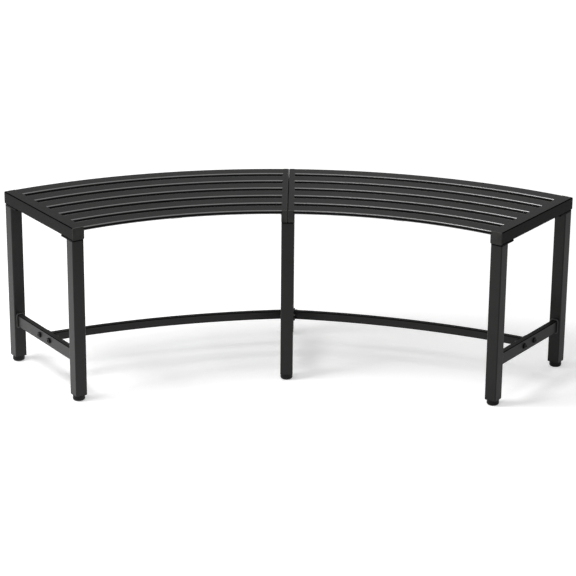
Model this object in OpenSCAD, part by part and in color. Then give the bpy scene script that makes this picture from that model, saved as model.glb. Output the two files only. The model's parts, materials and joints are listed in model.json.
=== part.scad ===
// Curved backless garden bench.
// Two curved slatted seat panels meet at a centre seam and are bolted onto three welded leg frames.
// Two bent stretchers tie the leg frames together, and six levelling feet carry the bench.
// +Z is up, -Y is the concave front, +X runs along the bench, and the origin lies on the floor
// in the middle of the footprint.

/* [Seat] */
// Height of the seat's top above the floor
seat_height = 430; // [380:1:480]
// Radius of the seat's rear edge, seen from above
seat_back_radius = 1195; // [1100:5:1500]
// Depth of the seat from its front edge to its rear edge
seat_depth = 338; // [300:1:400]
// Angle that each half of the bench takes up
half_angle = 34.7; // [28:0.1:40]
// Gap between the two seat panels at the centre seam
panel_gap = 0.6; // [0.4:0.1:3]

/* [Slats] */
// Width of a slat's flat tube
slat_w = 40; // [32:0.5:44]
// Height of a slat's flat tube
slat_h = 10; // [8:0.5:14]
// Corner radius of a slat's tube
slat_round = 3.2; // [2:0.1:3.8]
// Wall of a slat's tube
slat_wall = 1.2; // [0.8:0.1:1.6]

/* [Seat rails] */
// Width of the rails at the bench's two ends
end_rail_w = 30; // [24:1:36]
// Width of each of the two rails beside the centre seam
centre_rail_w = 15; // [14.5:0.5:18]
// Height of the seat's rails
rail_h = 30; // [24:1:40]
// Corner radius of the seat rails' tube
rail_round = 2.5; // [2.1:0.1:4]
// Wall of the seat rails' tube
rail_wall = 1.5; // [1.2:0.1:2]
// Thickness of an end plug's flange
plug_flange_t = 3; // [2:0.5:5]
// Bevel round the edge of an end plug's flange
plug_bevel = 0.8; // [0.3:0.1:1.2]
// Length of an end plug inside its tube
plug_len = 14; // [8:1:20]
// Wall of an end plug's hollow body
plug_wall = 2; // [1.5:0.1:3]
// Clearance on each side between a plug and the tube that it closes
plug_fit = 0.1; // [0.05:0.05:0.3]

/* [Seat straps] */
// Width of the flat bar under each panel
strap_w = 25; // [15:1:40]
// Thickness of the flat bar
strap_t = 3; // [2:0.5:5]
// Distance from the seat's edges to the ends of the flat bar
strap_inset = 10; // [5:1:20]

/* [Legs] */
// Width of a leg's square tube
leg_w = 30; // [28:1:36]
// Corner radius of a leg's tube
leg_round = 3; // [2.2:0.1:4.5]
// Wall of a leg's tube
leg_wall = 1.5; // [1.2:0.1:2]
// Distance from the seat's front or rear edge to the nearest face of a leg
leg_setback = 3; // [0:0.5:15]

/* [Leg top plates] */
// Thickness of the plate welded on a leg's top
plate_t = 3; // [2.5:0.5:5]
// Length of the plate's tab beyond the leg
tab_len = 26; // [22:1:36]
// Corner radius of a leg top plate
plate_round = 3; // [1:0.5:5]

/* [Lower rails] */
// Width of a lower rail's tube
low_rail_w = 15; // [12:1:20]
// Height of a lower rail's tube
low_rail_h = 30; // [25:1:40]
// Height of the lower rails' centre line above the floor
low_rail_z = 108; // [90:1:200]
// Corner radius of a lower rail's tube
low_rail_round = 2; // [1.8:0.1:3]
// Wall of a lower rail's tube
low_rail_wall = 1.5; // [1.2:0.1:1.7]

/* [Stretchers] */
// Width of a stretcher's tube, seen from above
stretcher_w = 15; // [12:1:20]
// Height of a stretcher's tube
stretcher_h = 20; // [16:1:20]
// Corner radius of a stretcher's tube
stretcher_round = 2; // [1.8:0.1:3]
// Wall of a stretcher's tube
stretcher_wall = 1.5; // [1.2:0.1:1.7]
// Bend radius of a stretcher's centre line
bow_radius = 1600; // [1100:10:3000]
// Thickness of the plates on a stretcher's ends
end_plate_t = 3; // [2.5:0.5:4]
// Height of the plates on a stretcher's ends
end_plate_h = 21; // [21:0.5:24]
// Length of the plates on a stretcher's ends
end_plate_len = 67; // [62:1:80]
// Corner radius of the plates on a stretcher's ends
end_plate_round = 3; // [1:0.5:5]
// Spacing of the two bolts through each end plate
bolt_spacing = 47; // [40:1:48]

/* [All screws] */
// Clearance on each side between a screw and the nut on it
thread_fit = 0.05; // [0.02:0.01:0.1]
// Height of the upright rim under a button head's dome
head_rim_h = 0.5; // [0.3:0.1:0.8]
// Bevel at the tip of a screw
screw_bevel = 0.7; // [0.3:0.1:1]

/* [Seat screws] */
// Diameter of the machine screws that hold the seat
screw_d = 6; // [5:0.5:6]
// Diameter of the hole in a top plate that a seat screw passes through
screw_hole_d = 6.6; // [6.4:0.1:7]
// Diameter of a seat screw's button head
head_d = 10.5; // [9.5:0.1:11]
// Height of a seat screw's button head
head_h = 3.3; // [2.8:0.1:3.6]
// Size across the flats of a seat screw's hexagon socket
socket_af = 4; // [3:0.5:4]
// Depth of a seat screw's hexagon socket
socket_depth = 2; // [1.5:0.1:2.2]
// Length of a seat screw below its head
seat_screw_len = 16; // [14:1:20]
// Diameter of the washer under a seat screw's head
washer_d = 12; // [11:0.5:13]
// Thickness of the washer under a seat screw's head
washer_t = 1.6; // [1:0.1:2]

/* [Stretcher screws] */
// Diameter of the machine screws that hold the stretchers
joint_screw_d = 8; // [6:0.5:8]
// Diameter of the holes that a stretcher's screw passes through
joint_hole_d = 9; // [8.4:0.1:9.5]
// Diameter of a stretcher screw's button head
joint_head_d = 14; // [12:0.5:16]
// Height of a stretcher screw's button head
joint_head_h = 4.4; // [3.8:0.1:5]
// Size across the flats of a stretcher screw's hexagon socket
joint_socket_af = 5; // [4:0.5:6]
// Depth of a stretcher screw's hexagon socket
joint_socket_depth = 2.6; // [2:0.1:3]
// Length of the screws at the outer ends of the stretchers, below the head
outer_screw_len = 30; // [27:1:36]
// Length of the screws through both stretchers at the centre, below the head
centre_screw_len = 35; // [30:1:40]
// Diameter of the washer under a stretcher screw's nut
joint_washer_d = 16; // [15:0.5:17]
// Thickness of the washer under a stretcher screw's nut
joint_washer_t = 1.6; // [1:0.1:2]
// Size across the flats of a nut
nut_af = 13; // [12:0.5:14]
// Height of a nut
nut_h = 6.5; // [5:0.1:8]
// Bevel on the corners of a nut
nut_bevel = 1; // [0.4:0.1:1.2]

/* [Rivet nuts] */
// Diameter of a rivet nut's flange
rivet_flange_d = 12.5; // [11:0.5:13]
// Thickness of a rivet nut's flange, which spaces the seat off the plates
rivet_flange_t = 0.8; // [0.5:0.1:0.9]
// Diameter of a rivet nut's body
rivet_body_d = 8.9; // [8:0.1:9]
// Diameter of the hole that a rivet nut sits in
rivet_hole_d = 9; // [9:0.1:9.4]
// Diameter of the collar that is pulled up inside the rail
rivet_collar_d = 11; // [10:0.1:11.2]
// Height of the collar
rivet_collar_h = 3.5; // [2:0.5:5]
// Length of a rivet nut above its flange
rivet_len = 13; // [12:0.5:15]

/* [Feet] */
// Height of a foot's pad
pad_h = 13; // [12:0.5:20]
// Largest diameter of a pad
pad_d = 29.6; // [26:0.2:32]
// Diameter of a pad's top
pad_top_d = 28.4; // [24:0.2:32]
// Radius round the pad's lower edge
pad_edge = 5; // [2:0.5:6]
// Thickness of the pad below the stud's head
pad_floor_t = 4; // [3:0.5:5]
// Diameter of the hole in the pad through which a hexagon key turns the stud
key_hole_d = 7; // [6:0.5:9]
// Gap between a pad and the leg's insert above it
pad_gap = 0.4; // [0.3:0.1:1]
// Distance that a foot can be screwed out
foot_travel = 10; // [5:1:12]
// Diameter of the stud's thread
stud_d = 8; // [8:0.5:10]
// Length of the stud that still sits in the leg's insert when the foot is screwed right out
stud_grip = 15; // [10:1:20]
// Diameter of the stud's round head
stud_head_d = 16; // [14:0.5:20]
// Height of the stud's round head
stud_head_h = 3; // [2.5:0.5:4]
// Size across the flats of the hexagon socket under the stud's head
stud_socket_af = 5; // [4:0.5:5]
// Depth of the hexagon socket under the stud's head
stud_socket_depth = 3.5; // [2:0.5:5]
// Bevel at the tip of a stud
stud_bevel = 1; // [0.5:0.1:1.5]
// Clearance on each side between the stud's neck and the mouth of the pad
neck_fit = 0.08; // [0.05:0.01:0.1]
// Clearance round the stud's head in the pad's pocket
pocket_fit = 0.3; // [0.3:0.05:0.5]
// Clearance on each side between the stud and the insert that it turns in
stud_fit = 0.05; // [0.02:0.01:0.1]

/* [Leg inserts] */
// Thickness of the insert's flange under the leg's tube
insert_flange_t = 1.2; // [1:0.1:2]
// Distance from the leg's face to the edge of the insert's flange
insert_flange_inset = 0.6; // [0.2:0.1:1]
// Length of the insert inside the leg
insert_len = 22; // [20:1:35]
// Clearance on each side between the insert and the leg's tube
insert_fit = 0.1; // [0.05:0.05:0.3]

/* [Hidden] */

// Names for the sides of the bench and the two rows of legs
left = -1;
centre = 0;
right = 1;
front = -1;
rear = 1;
sides = [left, centre, right];
rows = [front, rear];

// Colours
coat = "#32302f";
plug_black = "#1b1b1b";
foot_black = "#0c0c0c";
screw_black = "#1e1e1e";
bright_zinc = "#b4b6b8";

// Smoothness of corners, holes and long bends
corner_fn = 24;
hole_fn = 48;
bend_fn = 360;

// How far a cut runs past a face, and a length that reaches past the whole bench
overcut = 1;
reach = 2 * seat_back_radius;
// Angle that a stretcher's bend is drawn past its ends before they are cut off
bend_overrun = 1;

// Seat layout
slat_count = 6;
seat_front_radius = seat_back_radius - seat_depth;
seat_mid_radius = (seat_front_radius + seat_back_radius) / 2;
front_y = seat_front_radius * cos(half_angle) + plug_bevel * sin(half_angle);
arc_centre_y = -(front_y + seat_back_radius) / 2;
slat_pitch = (seat_depth - slat_w) / (slat_count - 1);
centre_rail_x = (panel_gap + centre_rail_w) / 2;
rail_z = seat_height - rail_h;

// Heights of the plates and legs, from the seat down and from the floor up
plate_z = rail_z - rivet_flange_t - plate_t;
insert_z = pad_h + pad_gap;
leg_z = insert_z + insert_flange_t;

// Feet
pocket_z = pad_floor_t;
stud_head_z = pocket_z + pocket_fit;
mouth_z = stud_head_z + stud_head_h + pocket_fit;

// Places of the stretchers' end plates, from the middle of a leg frame
low_rail_side = low_rail_w / 2;
end_plate_side = low_rail_side + end_plate_t;

// Distance of a leg's axis from the centre of the seat's arcs
function leg_radius(row) =
    row == front ? seat_front_radius + leg_setback + leg_w / 2
                 : seat_back_radius - leg_setback - leg_w / 2;

// Distance of a seat bolt from the centre of the seat's arcs
function tab_bolt_radius(row) = leg_radius(row) - row * (leg_w + tab_len) / 2;

// Places of the seat rails across a leg frame, from the frame's middle
function rails_over(side) =
    side == centre ? [-centre_rail_x, centre_rail_x] : [(leg_w - end_rail_w) / 2];

// Turns a point given beside the end's radial line into one beside the centre seam
function from_end(p) = [
    p.x * cos(half_angle) + p.y * sin(half_angle),
    p.y * cos(half_angle) - p.x * sin(half_angle)
];

// Rectangle with round corners, about the origin
module rounded_rect(w, h, r) {
    square([w - 2 * r, h], center = true);
    square([w, h - 2 * r], center = true);
    for (x = [-1, 1], y = [-1, 1])
        translate([x * (w / 2 - r), y * (h / 2 - r)])
            circle(r, $fn = corner_fn);
}

// Cross-section of a rectangular tube with round corners
module tube_section(w, h, r, wall) {
    difference() {
        rounded_rect(w, h, r);
        rounded_rect(w - 2 * wall, h - 2 * wall, r - wall);
    }
}

// Pulls a section along X, so that the section's own axes lie on Y and Z
module along_x(from, to) {
    translate([from, 0, 0])
        rotate([90, 0, 90])
            linear_extrude(to - from)
                children();
}

// Pulls a section along Y, so that the section's own axes lie on X and Z
module along_y(from, to) {
    translate([0, from, 0])
        rotate([-90, 0, 0])
            linear_extrude(to - from)
                children();
}

// Bends a section round the Z axis, with its angles counted from +Y towards +X
module bent(radius, from_angle, to_angle) {
    rotate([0, 0, 90 - to_angle])
        rotate_extrude(angle = to_angle - from_angle, $fn = bend_fn)
            translate([radius, 0])
                children();
}

// Moves from the footprint's middle to the centre of the seat's arcs
module at_arc_centre() {
    translate([0, arc_centre_y, 0])
        children();
}

// Mirrors a piece made for the right side when it belongs on the left
module on_side(side) {
    mirror([side == left ? 1 : 0, 0, 0])
        children();
}

// Lays +Y along the radial line at the bench's end
module at_end() {
    rotate([0, 0, -half_angle])
        children();
}

// Places what lies in a leg frame: X across it and Y along it, away from the arcs' centre
module in_leg_frame(side) {
    at_arc_centre() on_side(side)
        rotate([0, 0, side == centre ? 0 : -half_angle])
            translate([side == centre ? 0 : -leg_w / 2, 0, 0])
                children();
}

// Places what stands on the axis of one leg
module at_leg(side, row) {
    in_leg_frame(side)
        translate([0, leg_radius(row), 0])
            children();
}

// Repeats a piece at all six legs
module at_every_leg() {
    for (side = sides, row = rows)
        at_leg(side, row)
            children();
}

// Repeats a piece at the eight bolts between the leg frames and the seat's rails
module at_seat_bolts() {
    for (side = sides, row = rows)
        for (x = rails_over(side))
            in_leg_frame(side)
                translate([x, tab_bolt_radius(row), 0])
                    children();
}

// Repeats a piece at the two bolts of a stretcher's joint, in the frame of its leg frame
module at_stretcher_bolts() {
    for (place = [-1, 1])
        translate([0, seat_mid_radius + place * bolt_spacing / 2, low_rail_z])
            children();
}

// Cuts off what lies nearer the seam than seam_x or nearer the end's radial line than end_inset
module between(seam_x, end_inset) {
    intersection() {
        children();
        translate([seam_x, 0, -reach / 2])
            cube(reach);
        at_end()
            translate([-end_inset - reach, 0, -reach / 2])
                cube(reach);
    }
}

// One curved slat, counted from the front
module slat(side, number) {
    radius = seat_front_radius + slat_w / 2 + (number - 1) * slat_pitch;
    color(coat) at_arc_centre() on_side(side)
        between(panel_gap / 2 + centre_rail_w, end_rail_w)
            translate([0, 0, seat_height - slat_h / 2])
                bent(radius, 0, half_angle)
                    tube_section(slat_w, slat_h, slat_round, slat_wall);
}

// Straight tube of a seat rail between its two plugs, about x = 0
module rail_tube(w) {
    translate([0, 0, rail_z + rail_h / 2])
        along_y(seat_front_radius + plug_flange_t, seat_back_radius - plug_flange_t)
            tube_section(w, rail_h, rail_round, rail_wall);
}

// Holes in the floor of a seat rail for its two rivet nuts
module rivet_holes() {
    for (row = rows)
        translate([0, tab_bolt_radius(row), rail_z - overcut])
            cylinder(d = rivet_hole_d, h = rail_wall + 2 * overcut, $fn = hole_fn);
}

// Places a rail along one end of the bench
module at_end_rail(side) {
    at_arc_centre() on_side(side) at_end()
        translate([-end_rail_w / 2, 0, 0])
            children();
}

// Places a rail beside the centre seam
module at_centre_rail(side) {
    at_arc_centre() on_side(side)
        translate([centre_rail_x, 0, 0])
            children();
}

module end_rail(side) {
    color(coat) at_end_rail(side)
        difference() {
            rail_tube(end_rail_w);
            rivet_holes();
        }
}

module centre_rail(side) {
    color(coat) at_centre_rail(side)
        difference() {
            rail_tube(centre_rail_w);
            rivet_holes();
        }
}

// Plug that closes a rail of width w: a bevelled flange and a hollow body, its face at y = 0
module plug(w) {
    bore_w = w - 2 * rail_wall - 2 * plug_fit;
    bore_h = rail_h - 2 * rail_wall - 2 * plug_fit;
    hull() {
        along_y(0, plug_flange_t)
            rounded_rect(w - 2 * plug_bevel, rail_h - 2 * plug_bevel, rail_round);
        along_y(plug_bevel, plug_flange_t)
            rounded_rect(w, rail_h, rail_round);
    }
    along_y(plug_flange_t, plug_flange_t + plug_len)
        difference() {
            rounded_rect(bore_w, bore_h, rail_round - rail_wall);
            square([bore_w - 2 * plug_wall, bore_h - 2 * plug_wall], center = true);
        }
}

// Both plugs of one rail
module rail_plugs(w) {
    translate([0, seat_front_radius, rail_z + rail_h / 2])
        plug(w);
    translate([0, seat_back_radius, rail_z + rail_h / 2])
        mirror([0, 1, 0])
            plug(w);
}

module end_rail_plugs() {
    color(plug_black)
        for (side = [left, right])
            at_end_rail(side) rail_plugs(end_rail_w);
}

module centre_rail_plugs() {
    color(plug_black)
        for (side = [left, right])
            at_centre_rail(side) rail_plugs(centre_rail_w);
}

// Flat bar welded across the underside of the slats in the middle of a panel
module seat_strap(side) {
    color(coat) at_arc_centre() on_side(side)
        rotate([0, 0, -half_angle / 2])
            translate([-strap_w / 2, seat_front_radius + strap_inset, seat_height - slat_h - strap_t])
                cube([strap_w, seat_depth - 2 * strap_inset, strap_t]);
}

module leg(side, row) {
    color(coat) at_leg(side, row)
        translate([0, 0, leg_z])
            linear_extrude(plate_z - leg_z)
                tube_section(leg_w, leg_w, leg_round, leg_wall);
}

// Plate on a leg's top, with a tab towards the other leg that the seat is bolted to
module top_plate(side, row) {
    color(coat) in_leg_frame(side)
        difference() {
            translate([0, leg_radius(row) - row * tab_len / 2, plate_z])
                linear_extrude(plate_t)
                    rounded_rect(leg_w, leg_w + tab_len, plate_round);
            for (x = rails_over(side))
                translate([x, tab_bolt_radius(row), plate_z - overcut])
                    cylinder(d = screw_hole_d, h = plate_t + 2 * overcut, $fn = hole_fn);
        }
}

// Holes along X for the two bolts of a stretcher's joint
module stretcher_bolt_holes() {
    at_stretcher_bolts()
        rotate([0, 90, 0])
            cylinder(d = joint_hole_d, h = 2 * (end_plate_side + overcut), center = true, $fn = hole_fn);
}

module lower_rail(side) {
    color(coat) in_leg_frame(side)
        difference() {
            translate([0, 0, low_rail_z])
                along_y(leg_radius(front) + leg_w / 2, leg_radius(rear) - leg_w / 2)
                    tube_section(low_rail_w, low_rail_h, low_rail_round, low_rail_wall);
            stretcher_bolt_holes();
        }
}

// Bent tube between the plates on the centre's and the end's lower rail
module stretcher(side) {
    start = [end_plate_side, seat_mid_radius];
    end = from_end([-leg_w / 2 - end_plate_side, seat_mid_radius]);
    chord = end - start;
    to_bow_centre = [chord.y, -chord.x] / norm(chord);
    rise = sqrt(pow(bow_radius, 2) - pow(norm(chord) / 2, 2));
    bow_centre = (start + end) / 2 + rise * to_bow_centre;
    start_angle = atan2(start.x - bow_centre.x, start.y - bow_centre.y);
    end_angle = atan2(end.x - bow_centre.x, end.y - bow_centre.y);
    color(coat) at_arc_centre() on_side(side)
        between(end_plate_side, leg_w / 2 + end_plate_side)
            translate([bow_centre.x, bow_centre.y, low_rail_z])
                bent(bow_radius, start_angle - bend_overrun, end_angle + bend_overrun)
                    tube_section(stretcher_w, stretcher_h, stretcher_round, stretcher_wall);
}

// Plate on a stretcher's end, against one side face of a lower rail
module stretcher_plate(face) {
    difference() {
        translate([face * (low_rail_side + end_plate_t / 2), seat_mid_radius, low_rail_z])
            along_x(-end_plate_t / 2, end_plate_t / 2)
                rounded_rect(end_plate_len, end_plate_h, end_plate_round);
        stretcher_bolt_holes();
    }
}

module outer_stretcher_plate(side) {
    color(coat) in_leg_frame(side) stretcher_plate(left);
}

module inner_stretcher_plate(side) {
    color(coat) in_leg_frame(centre) stretcher_plate(side);
}

// Button head with its underside at z = 0 and its dome towards -Z
module button_head(d, h, key_af, key_depth) {
    dome_h = h - head_rim_h;
    dome_radius = (pow(d / 2, 2) + pow(dome_h, 2)) / (2 * dome_h);
    difference() {
        intersection() {
            translate([0, 0, -h])
                cylinder(d = d, h = h, $fn = hole_fn);
            translate([0, 0, dome_radius - h])
                sphere(dome_radius, $fn = 2 * hole_fn);
        }
        translate([0, 0, -h - overcut])
            cylinder(d = key_af / cos(30), h = key_depth + overcut, $fn = 6);
    }
}

// Shank of a screw, upwards from z = 0 to its bevelled tip
module shank(d, length) {
    cylinder(d = d, h = length - screw_bevel, $fn = hole_fn);
    translate([0, 0, length - screw_bevel])
        cylinder(d1 = d, d2 = d - 2 * screw_bevel, h = screw_bevel, $fn = hole_fn);
}

module seat_bolts() {
    color(screw_black) at_seat_bolts()
        translate([0, 0, plate_z - washer_t]) {
            button_head(head_d, head_h, socket_af, socket_depth);
            shank(screw_d, seat_screw_len);
        }
}

// Screw of a stretcher's joint, along +Z from the underside of its head
module joint_screw(length) {
    button_head(joint_head_d, joint_head_h, joint_socket_af, joint_socket_depth);
    shank(joint_screw_d, length);
}

module stretcher_bolts() {
    color(screw_black) {
        for (side = [left, right])
            in_leg_frame(side) at_stretcher_bolts()
                translate([low_rail_side, 0, 0])
                    rotate([0, -90, 0])
                        joint_screw(outer_screw_len);
        in_leg_frame(centre) at_stretcher_bolts()
            translate([-end_plate_side, 0, 0])
                rotate([0, 90, 0])
                    joint_screw(centre_screw_len);
    }
}

// Puts a nut or washer, made upwards from z = 0, over the far ends of the stretchers' bolts
module at_nut_sides(offset) {
    for (side = [left, right])
        in_leg_frame(side) at_stretcher_bolts()
            translate([-end_plate_side - offset, 0, 0])
                rotate([0, -90, 0])
                    children();
    in_leg_frame(centre) at_stretcher_bolts()
        translate([end_plate_side + offset, 0, 0])
            rotate([0, 90, 0])
                children();
}

module washer(d, hole_d, t) {
    difference() {
        cylinder(d = d, h = t, $fn = hole_fn);
        translate([0, 0, -overcut])
            cylinder(d = hole_d, h = t + 2 * overcut, $fn = hole_fn);
    }
}

module washers() {
    color(screw_black) {
        at_seat_bolts()
            translate([0, 0, plate_z - washer_t])
                washer(washer_d, screw_hole_d, washer_t);
        at_nut_sides(0)
            washer(joint_washer_d, joint_hole_d, joint_washer_t);
    }
}

// Hexagon nut with bevelled corners
module nut() {
    corner_r = nut_af / 2 / cos(30);
    difference() {
        intersection() {
            cylinder(r = corner_r, h = nut_h, $fn = 6);
            rotate_extrude($fn = hole_fn)
                polygon([
                    [0, 0], [corner_r - nut_bevel, 0], [corner_r, nut_bevel / 2],
                    [corner_r, nut_h - nut_bevel / 2], [corner_r - nut_bevel, nut_h], [0, nut_h]
                ]);
        }
        translate([0, 0, -overcut])
            cylinder(d = joint_screw_d + 2 * thread_fit, h = nut_h + 2 * overcut, $fn = hole_fn);
    }
}

module stretcher_nuts() {
    color(screw_black) at_nut_sides(joint_washer_t) nut();
}

// Rivet nut set upwards into the floor of a rail, with its flange under the rail
module rivet_nut() {
    bore_r = screw_d / 2 + thread_fit;
    rotate_extrude($fn = hole_fn)
        polygon([
            [bore_r, -rivet_flange_t], [rivet_flange_d / 2, -rivet_flange_t], [rivet_flange_d / 2, 0],
            [rivet_body_d / 2, 0], [rivet_body_d / 2, rail_wall], [rivet_collar_d / 2, rail_wall],
            [rivet_collar_d / 2, rail_wall + rivet_collar_h],
            [rivet_body_d / 2, rail_wall + rivet_collar_h],
            [rivet_body_d / 2, rivet_len], [bore_r, rivet_len]
        ]);
}

module rivet_nuts() {
    color(bright_zinc) at_seat_bolts() translate([0, 0, rail_z]) rivet_nut();
}

// Threaded plug in the lower end of every leg
module leg_inserts() {
    flange_w = leg_w - 2 * insert_flange_inset;
    flange_round = leg_round - insert_flange_inset;
    body_w = leg_w - 2 * leg_wall - 2 * insert_fit;
    bore_d = stud_d + 2 * stud_fit;
    color(plug_black) at_every_leg()
        difference() {
            union() {
                translate([0, 0, insert_z])
                    linear_extrude(insert_flange_t)
                        rounded_rect(flange_w, flange_w, flange_round);
                translate([0, 0, leg_z])
                    linear_extrude(insert_len)
                        rounded_rect(body_w, body_w, leg_round - leg_wall);
            }
            translate([0, 0, insert_z - overcut])
                cylinder(d = bore_d, h = insert_flange_t + insert_len + 2 * overcut, $fn = hole_fn);
        }
}

// Section of a pad before its pocket is cut: a round lower edge and sides that draw in upwards
module pad_section() {
    square([pad_d / 2 - pad_edge, pad_h]);
    translate([pad_d / 2 - pad_edge, pad_edge])
        intersection() {
            circle(pad_edge, $fn = hole_fn);
            translate([0, -pad_edge])
                square(pad_edge);
        }
    polygon([
        [0, pad_edge], [pad_d / 2, pad_edge], [pad_top_d / 2, pad_h], [0, pad_h]
    ]);
}

// Round pad, snapped over the head of its stud
module foot_pad(side, row) {
    color(foot_black) at_leg(side, row)
        difference() {
            rotate_extrude($fn = 2 * hole_fn)
                pad_section();
            translate([0, 0, -overcut])
                cylinder(d = key_hole_d, h = pad_floor_t + 2 * overcut, $fn = hole_fn);
            translate([0, 0, pocket_z])
                cylinder(d = stud_head_d + 2 * pocket_fit, h = mouth_z - pocket_z, $fn = hole_fn);
            translate([0, 0, mouth_z - overcut])
                cylinder(d = stud_d + 2 * neck_fit, h = pad_h - mouth_z + 2 * overcut, $fn = hole_fn);
        }
}

// Threaded stud with a round head, turned from below with a hexagon key
module foot_stud(side, row) {
    stud_top = insert_z + foot_travel + stud_grip - stud_head_z;
    color(bright_zinc) at_leg(side, row)
        translate([0, 0, stud_head_z])
            difference() {
                union() {
                    cylinder(d = stud_head_d, h = stud_head_h, $fn = hole_fn);
                    cylinder(d = stud_d, h = stud_top - stud_bevel, $fn = hole_fn);
                    translate([0, 0, stud_top - stud_bevel])
                        cylinder(d1 = stud_d, d2 = stud_d - 2 * stud_bevel, h = stud_bevel, $fn = hole_fn);
                }
                translate([0, 0, -overcut])
                    cylinder(d = stud_socket_af / cos(30), h = stud_socket_depth + overcut, $fn = 6);
            }
}

slat(left, 1);  // left_slat_1
slat(left, 2);  // left_slat_2
slat(left, 3);  // left_slat_3
slat(left, 4);  // left_slat_4
slat(left, 5);  // left_slat_5
slat(left, 6);  // left_slat_6
slat(right, 1);  // right_slat_1
slat(right, 2);  // right_slat_2
slat(right, 3);  // right_slat_3
slat(right, 4);  // right_slat_4
slat(right, 5);  // right_slat_5
slat(right, 6);  // right_slat_6
end_rail(left);  // left_end_rail
end_rail(right);  // right_end_rail
centre_rail(left);  // left_centre_rail
centre_rail(right);  // right_centre_rail
seat_strap(left);  // left_seat_strap
seat_strap(right);  // right_seat_strap
end_rail_plugs();
centre_rail_plugs();
leg(left, front);  // left_front_leg
leg(left, rear);  // left_rear_leg
leg(centre, front);  // centre_front_leg
leg(centre, rear);  // centre_rear_leg
leg(right, front);  // right_front_leg
leg(right, rear);  // right_rear_leg
top_plate(left, front);  // left_front_top_plate
top_plate(left, rear);  // left_rear_top_plate
top_plate(centre, front);  // centre_front_top_plate
top_plate(centre, rear);  // centre_rear_top_plate
top_plate(right, front);  // right_front_top_plate
top_plate(right, rear);  // right_rear_top_plate
lower_rail(left);  // left_lower_rail
lower_rail(centre);  // centre_lower_rail
lower_rail(right);  // right_lower_rail
stretcher(left);  // left_stretcher
stretcher(right);  // right_stretcher
outer_stretcher_plate(left);  // left_stretcher_outer_plate
inner_stretcher_plate(left);  // left_stretcher_inner_plate
outer_stretcher_plate(right);  // right_stretcher_outer_plate
inner_stretcher_plate(right);  // right_stretcher_inner_plate
foot_pad(left, front);  // left_front_foot_pad
foot_pad(left, rear);  // left_rear_foot_pad
foot_pad(centre, front);  // centre_front_foot_pad
foot_pad(centre, rear);  // centre_rear_foot_pad
foot_pad(right, front);  // right_front_foot_pad
foot_pad(right, rear);  // right_rear_foot_pad
foot_stud(left, front);  // left_front_foot_stud
foot_stud(left, rear);  // left_rear_foot_stud
foot_stud(centre, front);  // centre_front_foot_stud
foot_stud(centre, rear);  // centre_rear_foot_stud
foot_stud(right, front);  // right_front_foot_stud
foot_stud(right, rear);  // right_rear_foot_stud
leg_inserts();
rivet_nuts();
seat_bolts();
stretcher_bolts();
stretcher_nuts();
washers();
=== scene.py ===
"""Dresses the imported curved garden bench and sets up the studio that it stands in."""

import json
import math
from types import SimpleNamespace

import bmesh
import bpy
import numpy as np
from bpy.props import FloatProperty, FloatVectorProperty, PointerProperty
from bpy.types import NodeSocket, Operator, Panel, PropertyGroup
from mathutils import Matrix, Vector


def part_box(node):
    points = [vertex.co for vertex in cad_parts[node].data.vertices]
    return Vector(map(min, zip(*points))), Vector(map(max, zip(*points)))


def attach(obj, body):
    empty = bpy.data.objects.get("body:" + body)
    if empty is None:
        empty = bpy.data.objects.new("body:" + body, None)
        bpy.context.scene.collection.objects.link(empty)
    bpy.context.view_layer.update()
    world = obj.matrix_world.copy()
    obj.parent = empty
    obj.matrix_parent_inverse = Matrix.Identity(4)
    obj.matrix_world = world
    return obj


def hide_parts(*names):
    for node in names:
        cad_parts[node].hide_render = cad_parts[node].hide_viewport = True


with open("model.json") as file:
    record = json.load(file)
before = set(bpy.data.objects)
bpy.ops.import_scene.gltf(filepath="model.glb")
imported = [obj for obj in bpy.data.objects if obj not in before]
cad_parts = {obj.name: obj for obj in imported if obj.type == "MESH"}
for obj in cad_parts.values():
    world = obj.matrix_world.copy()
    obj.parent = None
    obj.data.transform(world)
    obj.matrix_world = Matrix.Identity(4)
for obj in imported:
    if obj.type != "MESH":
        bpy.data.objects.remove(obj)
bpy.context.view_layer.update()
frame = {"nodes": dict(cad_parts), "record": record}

bl_info = {
    "name": "Curved garden bench",
    "version": (1, 0, 0),
    "blender": (4, 5, 0),
    "location": "View3D > Sidebar > Bench",
    "description": "Dresses a curved, slatted, backless garden bench and sets up its studio",
    "category": "Add Mesh",
}

SIDES = ("left", "centre", "right")
ENDS = ("left", "right")
ROWS = ("front", "rear")
SLATS = range(1, 7)
X, Y, Z = range(3)
WHITE = (1, 1, 1, 1)
AROUND = 48  # points round a screw, a nut or a stud
PAD_AROUND = 64  # points round a foot's pad
RIPPLE_POINTS = 5  # points along one ripple of a weld bead
THREAD_DEPTH = 0.61  # share of its pitch
THREAD_FLAT = 1 / 12  # width of the crest and of the root, as a share of the pitch

# The record's material slot that each finish belongs to. A slot's last finish dresses the CAD nodes that stay.
SLOTS = {
    "slat_coat": "powder_coat", "frame_coat": "powder_coat", "weld_coat": "powder_coat",
    "seam_coat": "powder_coat", "rail_coat": "powder_coat", "plug_finish": "plug_plastic",
    "pad_finish": "pad_nylon", "screw_finish": "black_screws", "zinc_finish": "zinc_steel",
}


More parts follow.
